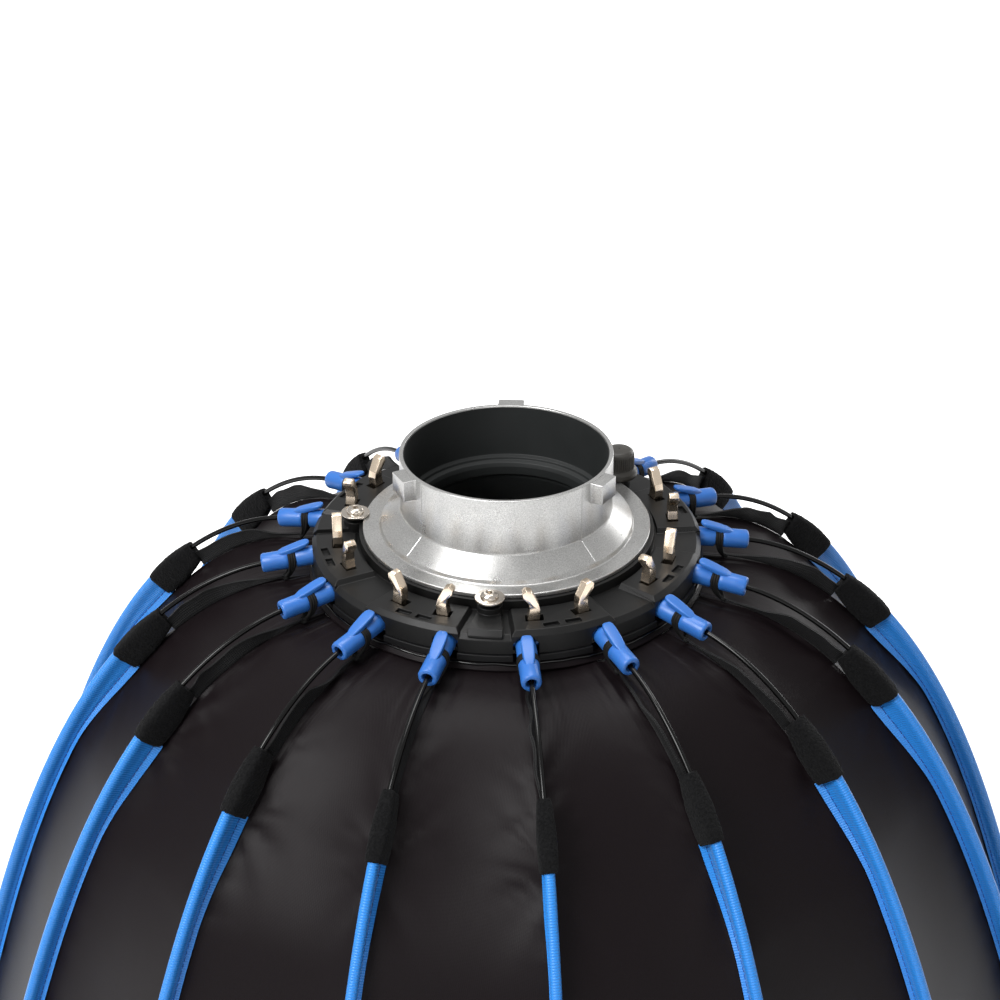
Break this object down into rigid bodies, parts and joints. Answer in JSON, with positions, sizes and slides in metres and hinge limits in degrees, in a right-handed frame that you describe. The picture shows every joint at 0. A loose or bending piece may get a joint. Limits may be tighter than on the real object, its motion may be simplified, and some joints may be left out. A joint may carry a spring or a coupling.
{
  "type": "deep softbox with honeycomb grid",
  "caption": "Deep parabolic softbox that folds like an umbrella: ribs hinged in a speed ring, turning bayonet collar, front diffuser and honeycomb grid.",
  "frame": {"origin": "on the axis of the collar and the ribs, in the plane of the honeycomb grid's front edge, which the part stands on", "axes": "+Z from the front grid to the mount collar; -Y is the front, between two ribs' azimuths; azimuths grow from -Y towards +X"},
  "size_m": [0.6046, 0.6046, 0.446],
  "materials": {
    "ring_black": "fine moulded texture",
    "plate_black": "satin",
    "bright_steel": "bright",
    "knob_charcoal": "satin",
    "cast_alloy": "satin cast",
    "shell_nylon": "coated nylon",
    "sleeve_blue": "ribbed binding tape",
    "strap_black": "brushed hook and loop",
    "diffuser_white": "translucent cloth",
    "grid_fabric": "matt woven strip",
    "rod_black": "gloss black",
    "cap_blue": "moulded, satin",
    "lever_nickel": "bright nickel plate"
  },
  "bodies": {
    "speed_ring": {"ring_housing": "ring_black", "ring_base_plate": "plate_black", "ring_screws": "bright_steel", "clamp_washers": "bright_steel", "fabric_shell": "shell_nylon", "rod_sleeves": "sleeve_blue", "strap_tabs": "strap_black"},
    "mount_adapter": {"bayonet_adapter": "cast_alloy"},
    "knob": {"lock_knob": "knob_charcoal"},
    "front_set": {"front_diffuser": "diffuser_white", "grid_border": "grid_fabric", "honeycomb_grid": "grid_fabric"},
    "rib_00": {"rod_00": "rod_black", "rod_cap_00": "cap_blue"},
    "rib_01": {"rod_01": "rod_black", "rod_cap_01": "cap_blue"},
    "rib_02": {"rod_02": "rod_black", "rod_cap_02": "cap_blue"},
    "rib_03": {"rod_03": "rod_black", "rod_cap_03": "cap_blue"},
    "rib_04": {"rod_04": "rod_black", "rod_cap_04": "cap_blue"},
    "rib_05": {"rod_05": "rod_black", "rod_cap_05": "cap_blue"},
    "rib_06": {"rod_06": "rod_black", "rod_cap_06": "cap_blue"},
    "rib_07": {"rod_07": "rod_black", "rod_cap_07": "cap_blue"},
    "rib_08": {"rod_08": "rod_black", "rod_cap_08": "cap_blue"},
    "rib_09": {"rod_09": "rod_black", "rod_cap_09": "cap_blue"},
    "rib_10": {"rod_10": "rod_black", "rod_cap_10": "cap_blue"},
    "rib_11": {"rod_11": "rod_black", "rod_cap_11": "cap_blue"},
    "rib_12": {"rod_12": "rod_black", "rod_cap_12": "cap_blue"},
    "rib_13": {"rod_13": "rod_black", "rod_cap_13": "cap_blue"},
    "rib_14": {"rod_14": "rod_black", "rod_cap_14": "cap_blue"},
    "rib_15": {"rod_15": "rod_black", "rod_cap_15": "cap_blue"},
    "finger_00": {"lever_00": "lever_nickel"},
    "finger_01": {"lever_01": "lever_nickel"},
    "finger_02": {"lever_02": "lever_nickel"},
    "finger_03": {"lever_03": "lever_nickel"},
    "finger_04": {"lever_04": "lever_nickel"},
    "finger_05": {"lever_05": "lever_nickel"},
    "finger_06": {"lever_06": "lever_nickel"},
    "finger_07": {"lever_07": "lever_nickel"},
    "finger_08": {"lever_08": "lever_nickel"},
    "finger_09": {"lever_09": "lever_nickel"},
    "finger_10": {"lever_10": "lever_nickel"},
    "finger_11": {"lever_11": "lever_nickel"},
    "finger_12": {"lever_12": "lever_nickel"},
    "finger_13": {"lever_13": "lever_nickel"},
    "finger_14": {"lever_14": "lever_nickel"},
    "finger_15": {"lever_15": "lever_nickel"}
  },
  "joints": [
    {"name": "adapter_turn", "type": "hinge", "parent": "speed_ring", "child": "mount_adapter", "pos_m": [0, 0, 0.4093], "axis": [0, 0, 1], "continuous": true},
    {"name": "knob_turn", "type": "hinge", "parent": "speed_ring", "child": "knob", "pos_m": [0.05439, 0.04564, 0.4093], "axis": [0, 0, 1], "continuous": true},
    {"name": "rib_fold", "type": "hinge", "parent": "speed_ring", "child": "rib_00", "pos_m": [0.00752, -0.08597, 0.397], "axis": [0.9962, 0.0872, 0], "range_deg": [0, 33], "deforming": ["fabric_shell", "rod_sleeves", "strap_tabs"]},
    {"name": "rib_fold_01", "type": "hinge", "parent": "speed_ring", "child": "rib_01", "pos_m": [0.03985, -0.07655, 0.397], "axis": [0.887, 0.4617, 0], "range_deg": [0, 33]},
    {"name": "rib_fold_02", "type": "hinge", "parent": "speed_ring", "child": "rib_02", "pos_m": [0.06611, -0.05547, 0.397], "axis": [0.6428, 0.766, 0], "range_deg": [0, 33]},
    {"name": "rib_fold_03", "type": "hinge", "parent": "speed_ring", "child": "rib_03", "pos_m": [0.08231, -0.02595, 0.397], "axis": [0.3007, 0.9537, 0], "range_deg": [0, 33]},
    {"name": "rib_fold_04", "type": "hinge", "parent": "speed_ring", "child": "rib_04", "pos_m": [0.08597, 0.00752, 0.397], "axis": [-0.0872, 0.9962, 0], "range_deg": [0, 33]},
    {"name": "rib_fold_05", "type": "hinge", "parent": "speed_ring", "child": "rib_05", "pos_m": [0.07655, 0.03985, 0.397], "axis": [-0.4617, 0.887, 0], "range_deg": [0, 33]},
    {"name": "rib_fold_06", "type": "hinge", "parent": "speed_ring", "child": "rib_06", "pos_m": [0.05547, 0.06611, 0.397], "axis": [-0.766, 0.6428, 0], "range_deg": [0, 33]},
    {"name": "rib_fold_07", "type": "hinge", "parent": "speed_ring", "child": "rib_07", "pos_m": [0.02595, 0.08231, 0.397], "axis": [-0.9537, 0.3007, 0], "range_deg": [0, 33]},
    {"name": "rib_fold_08", "type": "hinge", "parent": "speed_ring", "child": "rib_08", "pos_m": [-0.00752, 0.08597, 0.397], "axis": [-0.9962, -0.0872, 0], "range_deg": [0, 33]},
    {"name": "rib_fold_09", "type": "hinge", "parent": "speed_ring", "child": "rib_09", "pos_m": [-0.03985, 0.07655, 0.397], "axis": [-0.887, -0.4617, 0], "range_deg": [0, 33]},
    {"name": "rib_fold_10", "type": "hinge", "parent": "speed_ring", "child": "rib_10", "pos_m": [-0.06611, 0.05547, 0.397], "axis": [-0.6428, -0.766, 0], "range_deg": [0, 33]},
    {"name": "rib_fold_11", "type": "hinge", "parent": "speed_ring", "child": "rib_11", "pos_m": [-0.08231, 0.02595, 0.397], "axis": [-0.3007, -0.9537, 0], "range_deg": [0, 33]},
    {"name": "rib_fold_12", "type": "hinge", "parent": "speed_ring", "child": "rib_12", "pos_m": [-0.08597, -0.00752, 0.397], "axis": [0.0872, -0.9962, 0], "range_deg": [0, 33]},
    {"name": "rib_fold_13", "type": "hinge", "parent": "speed_ring", "child": "rib_13", "pos_m": [-0.07655, -0.03985, 0.397], "axis": [0.4617, -0.887, 0], "range_deg": [0, 33]},
    {"name": "rib_fold_14", "type": "hinge", "parent": "speed_ring", "child": "rib_14", "pos_m": [-0.05547, -0.06611, 0.397], "axis": [0.766, -0.6428, 0], "range_deg": [0, 33]},
    {"name": "rib_fold_15", "type": "hinge", "parent": "speed_ring", "child": "rib_15", "pos_m": [-0.02595, -0.08231, 0.397], "axis": [0.9537, -0.3007, 0], "range_deg": [0, 33]},
    {"name": "lever_press_00", "type": "hinge", "parent": "speed_ring", "child": "finger_00", "pos_m": [0.01123, -0.07782, 0.4012], "axis": [-0.0872, 0.9962, 0], "range_deg": [0, 10], "stiffness_Nm_per_rad": 0.3, "springref_deg": -2.86},
    {"name": "lever_press_01", "type": "hinge", "parent": "speed_ring", "child": "finger_01", "pos_m": [0.03234, -0.07166, 0.4012], "axis": [0.4617, -0.887, 0], "range_deg": [0, 10], "stiffness_Nm_per_rad": 0.3, "springref_deg": -2.86},
    {"name": "lever_press_02", "type": "hinge", "parent": "speed_ring", "child": "finger_02", "pos_m": [0.06296, -0.04709, 0.4012], "axis": [-0.766, 0.6428, 0], "range_deg": [0, 10], "stiffness_Nm_per_rad": 0.3, "springref_deg": -2.86},
    {"name": "lever_press_03", "type": "hinge", "parent": "speed_ring", "child": "finger_03", "pos_m": [0.07354, -0.0278, 0.4012], "axis": [0.9537, -0.3007, 0], "range_deg": [0, 10], "stiffness_Nm_per_rad": 0.3, "springref_deg": -2.86},
    {"name": "lever_press_04", "type": "hinge", "parent": "speed_ring", "child": "finger_04", "pos_m": [0.07782, 0.01123, 0.4012], "axis": [-0.9962, -0.0872, 0], "range_deg": [0, 10], "stiffness_Nm_per_rad": 0.3, "springref_deg": -2.86},
    {"name": "lever_press_05", "type": "hinge", "parent": "speed_ring", "child": "finger_05", "pos_m": [0.07166, 0.03234, 0.4012], "axis": [0.887, 0.4617, 0], "range_deg": [0, 10], "stiffness_Nm_per_rad": 0.3, "springref_deg": -2.86},
    {"name": "lever_press_06", "type": "hinge", "parent": "speed_ring", "child": "finger_06", "pos_m": [0.04709, 0.06296, 0.4012], "axis": [-0.6428, -0.766, 0], "range_deg": [0, 10], "stiffness_Nm_per_rad": 0.3, "springref_deg": -2.86},
    {"name": "lever_press_07", "type": "hinge", "parent": "speed_ring", "child": "finger_07", "pos_m": [0.0278, 0.07354, 0.4012], "axis": [0.3007, 0.9537, 0], "range_deg": [0, 10], "stiffness_Nm_per_rad": 0.3, "springref_deg": -2.86},
    {"name": "lever_press_08", "type": "hinge", "parent": "speed_ring", "child": "finger_08", "pos_m": [-0.01123, 0.07782, 0.4012], "axis": [0.0872, -0.9962, 0], "range_deg": [0, 10], "stiffness_Nm_per_rad": 0.3, "springref_deg": -2.86},
    {"name": "lever_press_09", "type": "hinge", "parent": "speed_ring", "child": "finger_09", "pos_m": [-0.03234, 0.07166, 0.4012], "axis": [-0.4617, 0.887, 0], "range_deg": [0, 10], "stiffness_Nm_per_rad": 0.3, "springref_deg": -2.86},
    {"name": "lever_press_10", "type": "hinge", "parent": "speed_ring", "child": "finger_10", "pos_m": [-0.06296, 0.04709, 0.4012], "axis": [0.766, -0.6428, 0], "range_deg": [0, 10], "stiffness_Nm_per_rad": 0.3, "springref_deg": -2.86},
    {"name": "lever_press_11", "type": "hinge", "parent": "speed_ring", "child": "finger_11", "pos_m": [-0.07354, 0.0278, 0.4012], "axis": [-0.9537, 0.3007, 0], "range_deg": [0, 10], "stiffness_Nm_per_rad": 0.3, "springref_deg": -2.86},
    {"name": "lever_press_12", "type": "hinge", "parent": "speed_ring", "child": "finger_12", "pos_m": [-0.07782, -0.01123, 0.4012], "axis": [0.9962, 0.0872, 0], "range_deg": [0, 10], "stiffness_Nm_per_rad": 0.3, "springref_deg": -2.86},
    {"name": "lever_press_13", "type": "hinge", "parent": "speed_ring", "child": "finger_13", "pos_m": [-0.07166, -0.03234, 0.4012], "axis": [-0.887, -0.4617, 0], "range_deg": [0, 10], "stiffness_Nm_per_rad": 0.3, "springref_deg": -2.86},
    {"name": "lever_press_14", "type": "hinge", "parent": "speed_ring", "child": "finger_14", "pos_m": [-0.04709, -0.06296, 0.4012], "axis": [0.6428, 0.766, 0], "range_deg": [0, 10], "stiffness_Nm_per_rad": 0.3, "springref_deg": -2.86},
    {"name": "lever_press_15", "type": "hinge", "parent": "speed_ring", "child": "finger_15", "pos_m": [-0.0278, -0.07354, 0.4012], "axis": [-0.3007, -0.9537, 0], "range_deg": [0, 10], "stiffness_Nm_per_rad": 0.3, "springref_deg": -2.86},
    {"name": "front_release", "type": "slide", "parent": "speed_ring", "child": "front_set", "axis": [0, 0, -1], "range_m": [0, 0.2]}
  ],
  "couplings": [
    {"joint": "rib_fold_01", "follows": "rib_fold", "ratio": 1},
    {"joint": "rib_fold_02", "follows": "rib_fold", "ratio": 1},
    {"joint": "rib_fold_03", "follows": "rib_fold", "ratio": 1},
    {"joint": "rib_fold_04", "follows": "rib_fold", "ratio": 1},
    {"joint": "rib_fold_05", "follows": "rib_fold", "ratio": 1},
    {"joint": "rib_fold_06", "follows": "rib_fold", "ratio": 1},
    {"joint": "rib_fold_07", "follows": "rib_fold", "ratio": 1},
    {"joint": "rib_fold_08", "follows": "rib_fold", "ratio": 1},
    {"joint": "rib_fold_09", "follows": "rib_fold", "ratio": 1},
    {"joint": "rib_fold_10", "follows": "rib_fold", "ratio": 1},
    {"joint": "rib_fold_11", "follows": "rib_fold", "ratio": 1},
    {"joint": "rib_fold_12", "follows": "rib_fold", "ratio": 1},
    {"joint": "rib_fold_13", "follows": "rib_fold", "ratio": 1},
    {"joint": "rib_fold_14", "follows": "rib_fold", "ratio": 1},
    {"joint": "rib_fold_15", "follows": "rib_fold", "ratio": 1},
    {"joint": "front_release", "follows": "rib_fold", "m_per_rad": 0.345}
  ]
}
